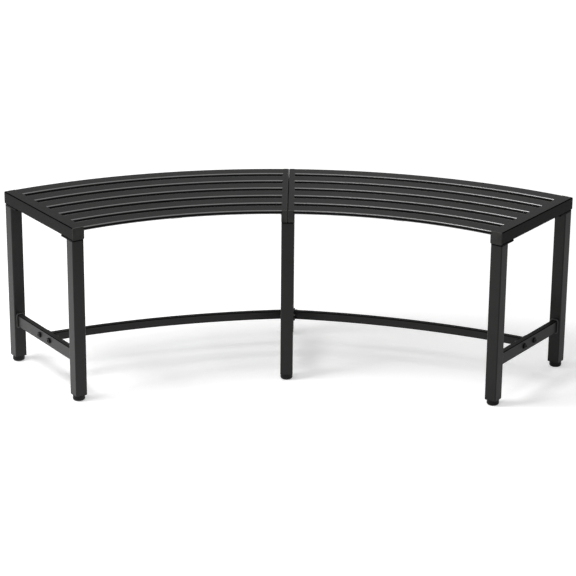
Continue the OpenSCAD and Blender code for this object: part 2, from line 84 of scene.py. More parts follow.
class BenchSizes(PropertyGroup):
    """Sizes of the bench that its CAD nodes' boxes don't give"""

    back_radius: FloatProperty(
        name="Seat back radius", description="Radius of the seat's rear edge, seen from above",
        default=1.195, unit="LENGTH")
    half_angle: FloatProperty(
        name="Half angle", description="Angle that each half of the bench takes up",
        default=math.radians(34.7), subtype="ANGLE")
    slat_width: FloatProperty(
        name="Slat width", description="Width of a slat's flat tube", default=0.04, unit="LENGTH")
    slat_round: FloatProperty(
        name="Slat corner radius", description="Radius of the corners of a slat's tube",
        default=0.0032, unit="LENGTH")
    end_rail_width: FloatProperty(
        name="End rail width", description="Width of the rails at the bench's ends",
        default=0.03, unit="LENGTH")
    rail_round: FloatProperty(
        name="Rail corner radius", description="Radius of the corners of the seat rails' tube",
        default=0.0025, unit="LENGTH")
    leg_round: FloatProperty(
        name="Leg corner radius", description="Radius of the corners of a leg's tube",
        default=0.003, unit="LENGTH")
    low_rail_round: FloatProperty(
        name="Lower tube corner radius", description="Radius of the corners of the lower rails and stretchers",
        default=0.002, unit="LENGTH")
    cut_edge: FloatProperty(
        name="Cut edge", description="Rounding that the coat gives to the cut ends of a tube",
        default=0.0003, unit="LENGTH")
    bow_radius: FloatProperty(
        name="Stretcher bend radius", description="Bend radius of a stretcher's centre line",
        default=1.6, unit="LENGTH")
    plug_bevel: FloatProperty(
        name="Plug rounding", description="Radius round the face of an end plug",
        default=0.0012, unit="LENGTH")
    bead_radius: FloatProperty(
        name="Weld bead radius", description="Radius of a weld bead's round section",
        default=0.0015, unit="LENGTH")
    bead_pitch: FloatProperty(
        name="Weld ripple pitch", description="Distance between two ripples of a weld bead",
        default=0.0021, unit="LENGTH")
    pad_edge: FloatProperty(
        name="Foot edge radius", description="Radius round the lower edge of a foot's pad",
        default=0.005, unit="LENGTH")
    screw_spacing: FloatProperty(
        name="Screw spacing", description="Distance between the two screws of a stretcher's joint",
        default=0.047, unit="LENGTH")
    screw_width: FloatProperty(
        name="Screw diameter", description="Diameter of the stretchers' screws", default=0.008, unit="LENGTH")
    screw_pitch: FloatProperty(
        name="Screw thread pitch", description="Pitch of the screws' thread", default=0.00125, unit="LENGTH")
    screw_bevel: FloatProperty(
        name="Screw bevel", description="Bevel at the tip of a screw", default=0.0007, unit="LENGTH")
    short_screw: FloatProperty(
        name="Short screw", description="Length of the outer screws below the head",
        default=0.03, unit="LENGTH")
    long_screw: FloatProperty(
        name="Long screw", description="Length of the centre screws below the head",
        default=0.035, unit="LENGTH")
    head_width: FloatProperty(
        name="Screw head diameter", description="Diameter of a screw's button head",
        default=0.014, unit="LENGTH")
    head_height: FloatProperty(
        name="Screw head height", description="Height of a screw's button head",
        default=0.0044, unit="LENGTH")
    head_rim: FloatProperty(
        name="Screw head rim", description="Height of the upright rim below a head's crown",
        default=0.0005, unit="LENGTH")
    head_crown: FloatProperty(
        name="Head crown", description="Flatness of a button head's crown: 2 is an ellipse",
        default=8.0, min=2)
    socket_width: FloatProperty(
        name="Socket width", description="Width across the flats of a head's hexagon socket",
        default=0.005, unit="LENGTH")
    socket_depth: FloatProperty(
        name="Socket depth", description="Depth of a head's hexagon socket", default=0.0026, unit="LENGTH")
    washer_thickness: FloatProperty(
        name="Washer thickness", description="Thickness of the washer under a nut",
        default=0.0016, unit="LENGTH")
    nut_width: FloatProperty(
        name="Nut width", description="Width across the flats of a nut", default=0.013, unit="LENGTH")
    nut_height: FloatProperty(
        name="Nut height", description="Height of a nut", default=0.0065, unit="LENGTH")
    nut_bore: FloatProperty(
        name="Nut bore", description="Diameter of a nut's bore", default=0.0081, unit="LENGTH")
    stud_pitch: FloatProperty(
        name="Stud thread pitch", description="Pitch of the studs' thread", default=0.00125, unit="LENGTH")


class BenchColours(PropertyGroup):
    """Colours and gloss of the bench's finishes"""

    coat: FloatVectorProperty(
        name="Frame coat", description="Charcoal powder coat of the leg frames",
        default=(0.018, 0.0174, 0.017), subtype="COLOR", min=0, max=1)
    seat_coat: FloatVectorProperty(
        name="Seat coat", description="Charcoal powder coat of the seat panels",
        default=(0.0075, 0.0072, 0.007), subtype="COLOR", min=0, max=1)
    coat_gloss: FloatProperty(
        name="Frame coat gloss", description="Specular level of the leg frames' coat",
        default=0.16, subtype="FACTOR", min=0, max=1)
    seat_gloss: FloatProperty(
        name="Seat coat gloss", description="Specular level of the seat panels' coat",
        default=0.005, subtype="FACTOR", min=0, max=1)
    rail_gloss: FloatProperty(
        name="Rail gloss", description="Specular level of the end rails' sides",
        default=0.012, subtype="FACTOR", min=0, max=1)
    edge_gloss: FloatProperty(
        name="Edge gloss", description="Specular level where the slats' coat runs thin over rounded edges",
        default=0.5, subtype="FACTOR", min=0, max=1)
    weld_gloss: FloatProperty(
        name="Weld gloss", description="Specular level of the coat on the leg frames' weld beads",
        default=0.5, subtype="FACTOR", min=0, max=1)
    plug: FloatVectorProperty(
        name="Plug plastic", description="Moulded plastic of the end plugs and leg inserts",
        default=(0.042, 0.041, 0.04), subtype="COLOR", min=0, max=1)
    pad: FloatVectorProperty(
        name="Foot nylon", description="Moulded nylon of the feet",
        default=(0.004, 0.004, 0.004), subtype="COLOR", min=0, max=1)
    screw: FloatVectorProperty(
        name="Black screws", description="Blackened steel of the screws, nuts and washers",
        default=(0.003, 0.003, 0.003), subtype="COLOR", min=0, max=1)
    zinc: FloatVectorProperty(
        name="Zinc", description="Zinc plating of the studs and rivet nuts",
        default=(0.5, 0.51, 0.52), subtype="COLOR", min=0, max=1)


class StudioSettings(PropertyGroup):
    """Camera, lamps and floor of the studio"""

    camera_place: FloatVectorProperty(
        name="Camera place", description="Where the camera stands",
        default=(0.0348, -5.0581, 2.0306), subtype="XYZ", unit="LENGTH")
    camera_yaw: FloatProperty(
        name="Camera yaw", description="Turn of the camera from straight ahead towards the right",
        default=-0.0066, subtype="ANGLE")
    camera_pitch: FloatProperty(
        name="Camera pitch", description="Tilt of the camera below the horizon", default=0.3466, subtype="ANGLE")
    camera_roll: FloatProperty(
        name="Camera roll", description="Turn of the camera about its own axis", default=0.0087, subtype="ANGLE")
    focal_length: FloatProperty(
        name="Focal length", description="Focal length of the lens, in millimetres", default=139.4, unit="CAMERA")
    floor_size: FloatProperty(
        name="Floor size", description="Side of the square floor", default=40.0, unit="LENGTH")
    floor_grey: FloatProperty(
        name="Floor grey", description="How much light the floor gives back",
        default=0.8, subtype="FACTOR", min=0, max=1)
    floor_glow: FloatProperty(
        name="Floor glow", description="Share of the floor's white under the bench that doesn't take shadows",
        default=0.45, subtype="FACTOR", min=0, max=1)
    glow_near: FloatProperty(
        name="Glow start", description="Distance from the bench's middle where the floor's glow begins to rise",
        default=1.2, unit="LENGTH")
    glow_far: FloatProperty(
        name="Glow end", description="Distance from the bench's middle where the floor glows fully white",
        default=4.0, unit="LENGTH")
    pool_place: FloatVectorProperty(
        name="Pool place", description="Middle of the pool of light that the floor shows in reflections",
        default=(-0.9, 0.1, 0), subtype="XYZ", unit="LENGTH")
    pool_near: FloatProperty(
        name="Pool start", description="Distance from the pool's middle where it begins to fade",
        default=0.3, unit="LENGTH")
    pool_far: FloatProperty(
        name="Pool end", description="Distance from the pool's middle where it has faded",
        default=1.8, unit="LENGTH")
    pool_glow: FloatProperty(
        name="Pool of light", description="Glow of the floor in the pool",
        default=0.9, subtype="FACTOR", min=0, max=1)
    pool_rest: FloatProperty(
        name="Rest of the floor", description="Glow that the floor outside the pool shows in reflections",
        default=0.2, subtype="FACTOR", min=0, max=1)
    ambient: FloatProperty(
        name="Ambient light", description="Strength of the even light from all around",
        default=0.28, subtype="FACTOR", min=0, max=1)
    key_power: FloatProperty(
        name="Key power", description="Power of the lamp above and to the left", default=78.0, unit="POWER")
    front_power: FloatProperty(
        name="Front power", description="Power of the lamp above the camera's side", default=14.0, unit="POWER")
    top_power: FloatProperty(
        name="Top power", description="Power of the wide lamp right above", default=12.0, unit="POWER")
    back_power: FloatProperty(
        name="Back power", description="Power of the wide lamp behind the bench's right end",
        default=4.0, unit="POWER")


def sizes():
    """The bench's sizes as the scene has them."""
    return bpy.context.scene.bench_sizes


def plan():
    """Places and sizes worked out from the CAD nodes' boxes and the named sizes."""
    size = sizes()
    rail_low, rail_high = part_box("right_centre_rail")
    plug_low, plug_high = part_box("centre_rail_plugs")
    leg_low, leg_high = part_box("centre_front_leg")
    lower_low, lower_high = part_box("centre_lower_rail")
    bent_low, bent_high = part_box("right_stretcher")
    slat_low, slat_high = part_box("right_slat_1")
    arc_y = plug_high.y - size.back_radius
    leg_width = leg_high.x - leg_low.x
    lower_width = lower_high.x - lower_low.x
    return SimpleNamespace(
        arc_y=arc_y,
        front_radius=plug_low.y - arc_y,
        back_radius=size.back_radius,
        tube_front=rail_low.y - arc_y,
        tube_back=rail_high.y - arc_y,
        rail_z=(rail_low.z + rail_high.z) / 2,
        rail_height=rail_high.z - rail_low.z,
        end_rail_x=(leg_width - size.end_rail_width) / 2,
        centre_rail_x=(rail_low.x + rail_high.x) / 2,
        centre_rail_width=rail_high.x - rail_low.x,
        seam_x=rail_high.x,
        slat_z=(slat_low.z + slat_high.z) / 2,
        slat_height=slat_high.z - slat_low.z,
        leg_width=leg_width,
        leg_z=(leg_low.z, leg_high.z),
        leg_radius={"front": leg_low.y + leg_width / 2 - arc_y,
                    "rear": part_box("centre_rear_leg")[1].y - leg_width / 2 - arc_y},
        low_rail_width=lower_width,
        low_rail_height=lower_high.z - lower_low.z,
        low_rail_z=(lower_low.z + lower_high.z) / 2,
        low_rail_y=(lower_low.y - arc_y, lower_high.y - arc_y),
        mid_radius=(lower_low.y + lower_high.y) / 2 - arc_y,
        plate_face=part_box("right_stretcher_inner_plate")[1].x,
        stretcher_width=lower_width,  # both are cut from tube of the same width
        stretcher_height=bent_high.z - bent_low.z,
    )


def in_bench(points, side):
    """Points about the arcs' centre, made for the right, moved into the bench's frame.

    X is mirrored on the left, and Y gets the place of the arcs' centre.
    """
    moved = np.array(points, float)
    moved[..., X] *= -1 if side == "left" else 1
    moved[..., Y] += plan().arc_y
    return moved


def in_leg_frame(points, side):
    """Points of a leg frame, X across it and Y along its radial line, moved into the bench's frame.

    At an end, X starts half a leg inside the end's radial line, which stands at the half angle from +Y:
    x' = x cos a + y sin a and y' = y cos a - x sin a. The centre leg frame stands on +Y itself.
    """
    turn, inside = (sizes().half_angle, plan().leg_width / 2) if side in ENDS else (0, 0)
    x, y = points[..., X] - inside, points[..., Y]
    across = x * math.cos(turn) + y * math.sin(turn)
    along = y * math.cos(turn) - x * math.sin(turn)
    return in_bench(np.stack([across, along, points[..., Z]], -1), side)


def end_normal(size):
    """Level direction out of the bench's right end, square to that end's radial line."""
    return np.array([math.cos(size.half_angle), -math.sin(size.half_angle), 0])


def outline(width, height, radius, steps=7):
    """Rectangle with quarter-circle corners, about the origin.

    Corner k's points are its centre plus radius times (cos a, sin a), a running from k to k + 1 quarter turns.
    """
    turn = np.linspace(0, np.pi / 2, steps) + np.arange(4)[:, None] * np.pi / 2
    signs = np.array([[1, 1], [-1, 1], [-1, -1], [1, -1]])
    centres = signs * (np.array([width, height]) / 2 - radius)
    points = centres[:, None] + radius * np.stack([np.cos(turn), np.sin(turn)], -1)
    return points.reshape(-1, 2)


def bar(width, height, radius, axis, low, high, edge):
    """Straight tube along one axis: its outline at four places, drawn in by the edge's rounding at both ends."""
    full = outline(width, height, radius)
    small = outline(width - 2 * edge, height - 2 * edge, radius - edge)
    across = [i for i in (X, Y, Z) if i != axis]
    rings = np.zeros((4, len(full), 3))
    rings[:, :, across] = np.stack([small, full, full, small])
    rings[:, :, axis] = np.array([low, low + edge, high - edge, high])[:, None]
    return rings


def round_about(centre, distance, angle, height):
    """Points at a distance r and an angle a from +Y about a centre: x = cx + r sin a and y = cy + r cos a."""
    return np.stack([centre[X] + distance * np.sin(angle), centre[Y] + distance * np.cos(angle), height], -1)


def bent_bar(section, centre, radius, start, end, steps):
    """Tube bent round a vertical axis, with both ends cut flat.

    A section point u outwards and v up lies at the distance r = radius + u and the height v. start and end
    give the angle of each point's cut from its r, and the rings between them are evenly spaced.
    """
    distance = radius + section[:, 0]
    share = np.linspace(0, 1, steps)[:, None]
    angle = (1 - share) * start(distance) + share * end(distance)
    return round_about(centre, distance, angle, np.broadcast_to(section[:, 1], angle.shape))


def turned(rows, around):
    """Turned form about Z, whose ring i has the points (r cos t, r sin t, z).

    A row holds a ring's r and z. Each of them is one number, or changes with the angle t.
    """
    radii, heights = (np.array([np.broadcast_to(row[part], around) for row in rows]) for part in (0, 1))
    turn = np.linspace(0, 2 * np.pi, around, endpoint=False)
    return np.stack([radii * np.cos(turn), radii * np.sin(turn), heights], -1)


def hexagon(across_flats, around):
    """Distance of a hexagon's outline from its middle at evenly spaced angles: half its flats over cos of the
    angle to the middle of the nearest flat."""
    turn = np.linspace(0, 2 * np.pi, around, endpoint=False)
    return across_flats / 2 / np.cos((turn % (np.pi / 3)) - np.pi / 6)


def thread(outer_radius, pitch, low, high, around, per_turn=8):
    """Rows of a right-hand thread, for turned().

    The crest at the angle t stands at the heights (t / 2 pi + n) pitch. From its flat the radius falls evenly,
    by the thread's depth, to the flat of the root halfway between two crests.
    """
    heights = np.linspace(low, high, max(2, round((high - low) / pitch * per_turn)))
    turn = np.linspace(0, 1, around, endpoint=False)
    phase = (heights[:, None] / pitch - turn) % 1
    rise = np.clip((np.abs(phase - 0.5) - THREAD_FLAT / 2) / (0.5 - THREAD_FLAT), 0, 1)
    return zip(outer_radius - THREAD_DEPTH * pitch * (1 - rise), heights)


def laid_along(points, origin, direction):
    """Points made along +Z, laid with Z along a level direction from an origin."""
    first = np.cross([0, 0, 1], direction)
    return points @ np.stack([first, np.cross(direction, first), direction]) + origin


def travelled(path):
    """How far along a path each of its points lies."""
    return np.concatenate([[0], np.cumsum(np.linalg.norm(np.diff(path, axis=0), axis=1))])


def evenly(path, step, loop):
    """The same path with points at even distances of about one step."""
    path = np.array(path, float)
    if loop:
        path = np.vstack([path, path[:1]])
    way = travelled(path)
    places = np.linspace(0, way[-1], max(4, int(way[-1] / step)), endpoint=not loop)
    return np.stack([np.interp(places, way, path[:, i]) for i in (X, Y)], -1)


def bead(path, normal, radius, pitch, loop, around=10):
    """Weld bead: a round section swept along a path that lies in one plane.

    The section's circle has its axes along the plane's normal and across the path. Its radius is
    R (1 + 0.1 sin(2 pi s / pitch) + 0.04 sin(5.3 s / pitch)) at the distance s along the path: even ripples
    and a slower unevenness.
    """
    ahead, behind = np.roll(path, -1, 0), np.roll(path, 1, 0)
    if not loop:
        ahead[-1], behind[0] = path[-1], path[0]
    along = ahead - behind
    along /= np.linalg.norm(along, axis=1)[:, None]
    across = np.cross(along, normal)
    way = travelled(path) / pitch
    swell = radius * (1 + 0.1 * np.sin(2 * np.pi * way) + 0.04 * np.sin(5.3 * way))
    turn = np.linspace(0, 2 * np.pi, around, endpoint=False)[:, None]
    circle = np.cos(turn) * normal + np.sin(turn) * across[:, None]
    return path[:, None] + swell[:, None, None] * circle


def skin(name, shells, finish, replaced=(), body="bench", sharp=30.0):
    """One piece from shells, with its finish, that rides on a body and stands for the CAD nodes replaced.

    A shell is a stack of closed rings of points, and whether it is a loop. It has quads between neighbouring
    rings, and a flat face on its first and last ring, or quads between those two where it is a loop. Edges
    that bend by more than the sharp angle, in degrees, stay sharp.
    """
    points, faces, offset = [], [], 0
    for rings, loop in shells:
        count, around = rings.shape[:2]
        ring = np.arange(count * around).reshape(count, around) + offset
        low = ring if loop else ring[:-1]
        high = np.roll(ring, -1, 0) if loop else ring[1:]
        quads = np.stack([low, np.roll(low, -1, 1), np.roll(high, -1, 1), high], -1)
        faces += quads.reshape(-1, 4).tolist()
        if not loop:
            faces += [ring[0].tolist(), ring[-1].tolist()]
        points.append(rings.reshape(-1, 3))
        offset += count * around
    mesh = bpy.data.meshes.new(name)
    mesh.from_pydata(np.concatenate(points).tolist(), [], faces)
    work = bmesh.new()
    work.from_mesh(mesh)
    bmesh.ops.recalc_face_normals(work, faces=work.faces)
    work.to_mesh(mesh)
    work.free()
    mesh.polygons.foreach_set("use_smooth", [True] * len(mesh.polygons))
    mesh.set_sharp_from_angle(angle=math.radians(sharp))
    mesh.materials.append(bpy.data.materials[finish])
    piece = bpy.data.objects.new(name, mesh)
    bpy.context.scene.collection.objects.link(piece)
    piece.modifiers.new("flat faces", "WEIGHTED_NORMAL").keep_sharp = True
    if replaced:
        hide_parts(*replaced)
    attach(piece, body)


def cleared(owner, output):
    """The emptied node tree of a material or world, and the surface socket of its new output."""
    owner.use_nodes = True
    tree = owner.node_tree
    tree.nodes.clear()
    return tree, tree.nodes.new(output).inputs["Surface"]


def node(tree, kind, inputs, **settings):
    """A new shader node with these settings and inputs. An input given as a socket is linked."""
    made = tree.nodes.new(kind)
    for name, value in settings.items():
        setattr(made, name, value)
    for name, value in inputs.items():
        if isinstance(value, NodeSocket):
            tree.links.new(value, made.inputs[name])
        else:
            made.inputs[name].default_value = value
    return made


def calculate(tree, operation, first, second):
    """The result of one sum, whose two terms are sockets or numbers."""
    return node(tree, "ShaderNodeMath", {0: first, 1: second}, operation=operation).outputs["Value"]


def distance_to(tree, place, point):
    """How far a place is from a point."""
    return node(tree, "ShaderNodeVectorMath", {0: place, 1: point}, operation="DISTANCE").outputs["Value"]


def noise(tree, place, scale, detail=2.0, roughness=0.5):
    """Noise with features of about one over the scale, in metres."""
    inputs = {"Vector": place, "Scale": scale, "Detail": detail, "Roughness": roughness}
    return node(tree, "ShaderNodeTexNoise", inputs).outputs["Fac"]


def between(tree, share, low, high, least=0.3, most=0.7):
    """Maps a pattern's share from least..most to low..high."""
    inputs = {"Value": share, "From Min": least, "From Max": most, "To Min": low, "To Max": high}
    return node(tree, "ShaderNodeMapRange", inputs).outputs["Result"]


def shade(tree, share, colour, dark, light):
    """A colour made darker and lighter by a pattern, whose share runs over its usual span."""
    inputs = {"Factor": between(tree, share, 0, 1)}
    for end, factor in (("A", dark), ("B", light)):
        inputs[end] = [*(channel * factor for channel in colour), 1]
    return node(tree, "ShaderNodeMix", inputs, data_type="RGBA").outputs["Result"]


def bumps(tree, shader, layers):
    """Adds height patterns, each with its depth in metres, to a shader's normal."""
    below = {}
    for height, depth in layers:
        made = node(tree, "ShaderNodeBump", {"Distance": depth, "Height": height, **below})
        below = {"Normal": made.outputs["Normal"]}
    tree.links.new(below["Normal"], shader.inputs["Normal"])


def slopes(tree):
    """Two shares from the normal's vertical part z: z z, which is one on level and nought on upright faces, and
    4 z z (1 - z z), which is one halfway round a rounding between them."""
    normal = tree.nodes.new("ShaderNodeNewGeometry").outputs["Normal"]
    z = node(tree, "ShaderNodeSeparateXYZ", {0: normal}).outputs["Z"]
    square = calculate(tree, "MULTIPLY", z, z)
    rest = calculate(tree, "SUBTRACT", 1.0, square)
    return square, calculate(tree, "MULTIPLY", calculate(tree, "MULTIPLY", square, rest), 4.0)


def new_material(name):
    """A node material's tree with its shader, and the Object coordinates to draw patterns with."""
    tree, surface = cleared(bpy.data.materials.new(name), "ShaderNodeOutputMaterial")
    shader = tree.nodes.new("ShaderNodeBsdfPrincipled")
    tree.links.new(shader.outputs["BSDF"], surface)
    return tree, shader, tree.nodes.new("ShaderNodeTexCoord").outputs["Object"]


def make_powder_coat(name, colour, index, upright, level, edge, rounding_shade):
    """Satin powder coat: orange peel, a fine sparkle of grain and slow changes of tone and gloss.

    Its gloss goes from the upright to the level faces' value, and the roundings between them have their own gloss and
    a painted shade: their colour is darkened by the rounding shade factor. A gloss that is the same everywhere is set
    on the shader itself.
    """
    tree, shader, place = new_material(name)
    peel = noise(tree, place, scale=620)
    grain = noise(tree, place, scale=2600, detail=1.0)
    cloud = noise(tree, place, scale=9, detail=3.0)
    level_share, rounding = slopes(tree)
    edge_share = between(tree, rounding, 0.0, 1.0, least=0.1, most=0.5)
    tone = shade(tree, cloud, colour, dark=0.9, light=1.12)
    # Painted shade: on the roundings the colour is scaled down towards the rounding shade factor, fully where a
    # rounding is halfway round.
    depth = between(tree, edge_share, 1.0, rounding_shade, 0.0, 1.0)
    shaded_colour = node(tree, "ShaderNodeVectorMath", {"Vector": tone, "Scale": depth}, operation="SCALE")
    tree.links.new(shaded_colour.outputs["Vector"], shader.inputs["Base Color"])
    tree.links.new(between(tree, peel, low=0.28, high=0.36), shader.inputs["Roughness"])
    gloss = shader.inputs["Specular IOR Level"]
    if upright == level == edge:
        gloss.default_value = edge
    else:
        faces = between(tree, level_share, upright, level, 0.0, 1.0)
        mixed = node(tree, "ShaderNodeMix", {"Factor": edge_share, "A": faces, "B": edge})
        tree.links.new(mixed.outputs["Result"], gloss)
    shader.inputs["IOR"].default_value = index
    bumps(tree, shader, [(peel, 0.00006), (grain, 0.00001)])


def make_plastic(name, colour, roughness, level):
    """Moulded plastic: a fine spark-eroded grain and faint flow marks."""
    tree, shader, place = new_material(name)
    grain = noise(tree, place, scale=1500)
    flow = noise(tree, place, scale=60, detail=3.0)
    tree.links.new(shade(tree, flow, colour, dark=0.85, light=1.2), shader.inputs["Base Color"])
    uneven = between(tree, flow, low=roughness - 0.05, high=roughness + 0.07)
    tree.links.new(uneven, shader.inputs["Roughness"])
    shader.inputs["Specular IOR Level"].default_value = level
    bumps(tree, shader, [(grain, 0.00003)])


def make_metal(name, colour, roughness, level, metallic):
    """Plated or blackened steel: fine tumbling marks and cloudy gloss."""
    tree, shader, place = new_material(name)
    marks = noise(tree, place, scale=900, detail=3.0, roughness=0.7)
    cloud = noise(tree, place, scale=150)
    tree.links.new(shade(tree, marks, colour, dark=0.85, light=1.15), shader.inputs["Base Color"])
    uneven = between(tree, cloud, low=roughness - 0.07, high=roughness + 0.1)
    tree.links.new(uneven, shader.inputs["Roughness"])
    shader.inputs["Specular IOR Level"].default_value = level
    shader.inputs["Metallic"].default_value = metallic
    bumps(tree, shader, [(marks, 0.00002)])


class BENCH_OT_make_finishes(Operator):
    """Make the bench's finishes and give them to the CAD nodes that stay"""

    bl_idname = "bench.make_finishes"
    bl_label = "Make finishes"

    def execute(self, context):
        colours = context.scene.bench_colours
        frames = {"colour": colours.coat, "index": 1.5}
        panels = {"colour": colours.seat_coat, "index": 2.0}
        seat, weld = colours.seat_gloss, colours.weld_gloss
        # The frame and rail coats' roundings get a painted shade down to a fifth of their colour, and the seam coat's
        # roundings a lighter painted shade; the weld and slat coats have none.
        make_powder_coat("frame_coat", **frames, upright=colours.coat_gloss, level=seat, edge=0.0, rounding_shade=0.2)
        make_powder_coat("weld_coat", **frames, upright=weld, level=weld, edge=weld, rounding_shade=1.0)
        make_powder_coat("seam_coat", **panels, upright=seat, level=seat, edge=seat, rounding_shade=0.8)
        make_powder_coat("rail_coat", **panels, upright=colours.rail_gloss, level=seat, edge=0.0, rounding_shade=0.2)
        make_powder_coat("slat_coat", **panels, upright=seat, level=seat, edge=colours.edge_gloss, rounding_shade=1.0)
        make_plastic("plug_finish", colours.plug, roughness=0.4, level=0.03)
        make_plastic("pad_finish", colours.pad, roughness=0.38, level=0.15)
        make_metal("screw_finish", colours.screw, roughness=0.25, level=0.12, metallic=0.0)
        make_metal("zinc_finish", colours.zinc, roughness=0.32, level=0.5, metallic=1.0)
        finishes = {slot: finish for finish, slot in SLOTS.items()}
        for part in frame["record"]["subparts"]:
            materials = frame["nodes"][part["node"]].data.materials
            materials.clear()
            materials.append(bpy.data.materials[finishes[part["material_slot"]]])
        return {"FINISHED"}


def slat_radii(size, place):
    """Radii of the slats' centre lines, evenly spaced from the seat's front edge to its rear one."""
    gap = (place.back_radius - place.front_radius - size.slat_width) / (len(SLATS) - 1)
    return [place.front_radius + size.slat_width / 2 + (number - 1) * gap for number in SLATS]


def slat_cuts(size, place):
    """Angles at which a line of a slat ends, from its distance r to the arcs' centre.

    They are arcsin(x / r) at the seam and the half angle less arcsin(w / r) at the end, where x and w reach over
    the corner radius of the rail there.
    """
    def start(r):
        return np.arcsin((place.seam_x - size.rail_round) / r)

    def end(r):
        return size.half_angle - np.arcsin((size.end_rail_width - size.rail_round) / r)

    return start, end


class BENCH_OT_add_slats(Operator):
    """Bend the twelve flat tubes of the seat's slats"""

    bl_idname = "bench.add_slats"
    bl_label = "Add slats"

    def execute(self, context):
        size, place = sizes(), plan()
        section = outline(size.slat_width, place.slat_height, size.slat_round) + [0, place.slat_z]
        for side in ENDS:
            for number, radius in zip(SLATS, slat_radii(size, place)):
                rings = bent_bar(section, (0, 0), radius, *slat_cuts(size, place), steps=60)
                name = f"{side}_slat_{number}"
                skin(name + "_tube", [(in_bench(rings, side), False)], "slat_coat", [name])
        return {"FINISHED"}


def seat_rail(width, middle, size, place):
    """Straight tube of a seat rail, with its middle at this X."""
    rings = bar(width, place.rail_height, size.rail_round, Y, place.tube_front, place.tube_back, size.cut_edge)
    return rings + [middle, 0, place.rail_z]


class BENCH_OT_add_seat_rails(Operator):
    """Add the square tubes at the ends of the seat and the two beside its seam"""

    bl_idname = "bench.add_seat_rails"
    bl_label = "Add seat rails"

    def execute(self, context):
        size, place = sizes(), plan()
        for side in ENDS:
            name = f"{side}_end_rail"
            rings = seat_rail(size.end_rail_width, place.end_rail_x, size, place)
            skin(name + "_tube", [(in_leg_frame(rings, side), False)], "rail_coat", [name])
            name = f"{side}_centre_rail"
            rings = seat_rail(place.centre_rail_width, place.centre_rail_x, size, place)
            skin(name + "_tube", [(in_bench(rings, side), False)], "seam_coat", [name])
        return {"FINISHED"}


def plug_cap(row, width, middle, size, place):
    """Flange of an end plug, with its middle at this X: the rail's outline at the tube's cut, and then drawn in
    by b (1 - cos a) at the depth b (1 - sin a) behind its face, for the bevel b and a from 0 to a quarter turn."""
    face, back = {"front": (place.front_radius, place.tube_front),
                  "rear": (place.back_radius, place.tube_back)}[row]
    bevel, least_round = size.plug_bevel, 0.0004
    turn = np.linspace(0, np.pi / 2, 5)
    insets = np.concatenate([[0], bevel * (1 - np.cos(turn))])
    depths = np.concatenate([[abs(back - face)], bevel * (1 - np.sin(turn))])
    outlines = np.array([
        outline(width - 2 * inset, place.rail_height - 2 * inset, max(size.rail_round - inset, least_round))
        for inset in insets])
    rings = np.zeros((*outlines.shape[:2], 3))
    rings[:, :, [X, Z]] = outlines
    rings[:, :, Y] = (face + np.sign(back - face) * depths)[:, None]
    return rings + [middle, 0, place.rail_z]


class BENCH_OT_add_end_plugs(Operator):
    """Close the ends of the seat rails with moulded plugs"""

    bl_idname = "bench.add_end_plugs"
    bl_label = "Add end plugs"

    def execute(self, context):
        size, place = sizes(), plan()
        ends, centres = [], []
        for side in ENDS:
            for row in ROWS:
                cap = plug_cap(row, size.end_rail_width, place.end_rail_x, size, place)
                ends.append((in_leg_frame(cap, side), False))
                cap = plug_cap(row, place.centre_rail_width, place.centre_rail_x, size, place)
                centres.append((in_bench(cap, side), False))
        skin("end_rail_caps", ends, "plug_finish", ["end_rail_plugs"])
        skin("centre_rail_caps", centres, "plug_finish", ["centre_rail_plugs"])
        return {"FINISHED"}


class BENCH_OT_add_legs(Operator):
    """Stand the six legs' square tubes"""

    bl_idname = "bench.add_legs"
    bl_label = "Add legs"

    def execute(self, context):
        size, place = sizes(), plan()
        for side in SIDES:
            for row in ROWS:
                rings = bar(place.leg_width, place.leg_width, size.leg_round, Z, *place.leg_z, size.cut_edge)
                rings[..., Y] += place.leg_radius[row]
                name = f"{side}_{row}_leg"
                skin(name + "_tube", [(in_leg_frame(rings, side), False)], "frame_coat", [name])
        return {"FINISHED"}


class BENCH_OT_add_lower_rails(Operator):
    """Add the three flat tubes between the front and rear legs"""

    bl_idname = "bench.add_lower_rails"
    bl_label = "Add lower rails"

    def execute(self, context):
        size, place = sizes(), plan()
        for side in SIDES:
            rings = bar(place.low_rail_width, place.low_rail_height, size.low_rail_round, Y,
                        *place.low_rail_y, size.cut_edge)
            rings[..., Z] += place.low_rail_z
            name = f"{side}_lower_rail"
            skin(name + "_tube", [(in_leg_frame(rings, side), False)], "frame_coat", [name])
        return {"FINISHED"}


def stretcher_cuts(size, place):
    """Centre of a stretcher's bend, made for the right, and the angles at which a line of it meets its plates.

    The centre lies on the normal of the line between the stretcher's two ends, at the distance that gives both
    ends the bend's radius. At the distance r from it the angles are arcsin((f - cx) / r) and the half angle less
    arcsin((i + c) / r), where the centre plate's face stands at f, the outer plate's face stands i inside the
    end's radial line, and the centre's place along that line's normal is c.
    """
    outwards = end_normal(size)[:2]
    inset = place.leg_width / 2 + place.plate_face
    first = np.array([place.plate_face, place.mid_radius])
    radial = np.array([math.sin(size.half_angle), math.cos(size.half_angle)])
    last = place.mid_radius * radial - inset * outwards
    chord = last - first
    towards = np.array([chord[Y], -chord[X]]) / np.linalg.norm(chord)
    centre = (first + last) / 2 + towards * math.sqrt(size.bow_radius ** 2 - (chord @ chord) / 4)

    def start(r):
        return np.arcsin((place.plate_face - centre[X]) / r)

    def end(r):
        return size.half_angle - np.arcsin((inset + centre @ outwards) / r)

    return centre, start, end


class BENCH_OT_add_stretchers(Operator):
    """Bend the two stretchers between the lower rails"""

    bl_idname = "bench.add_stretchers"
    bl_label = "Add stretchers"

    def execute(self, context):
        size, place = sizes(), plan()
        section = outline(place.stretcher_width, place.stretcher_height, size.low_rail_round)
        section[:, 1] += place.low_rail_z
        centre, start, end = stretcher_cuts(size, place)
        for side in ENDS:
            rings = bent_bar(section, centre, size.bow_radius, start, end, steps=48)
            name = f"{side}_stretcher"
            skin(name + "_tube", [(in_bench(rings, side), False)], "frame_coat", [name])
        return {"FINISHED"}


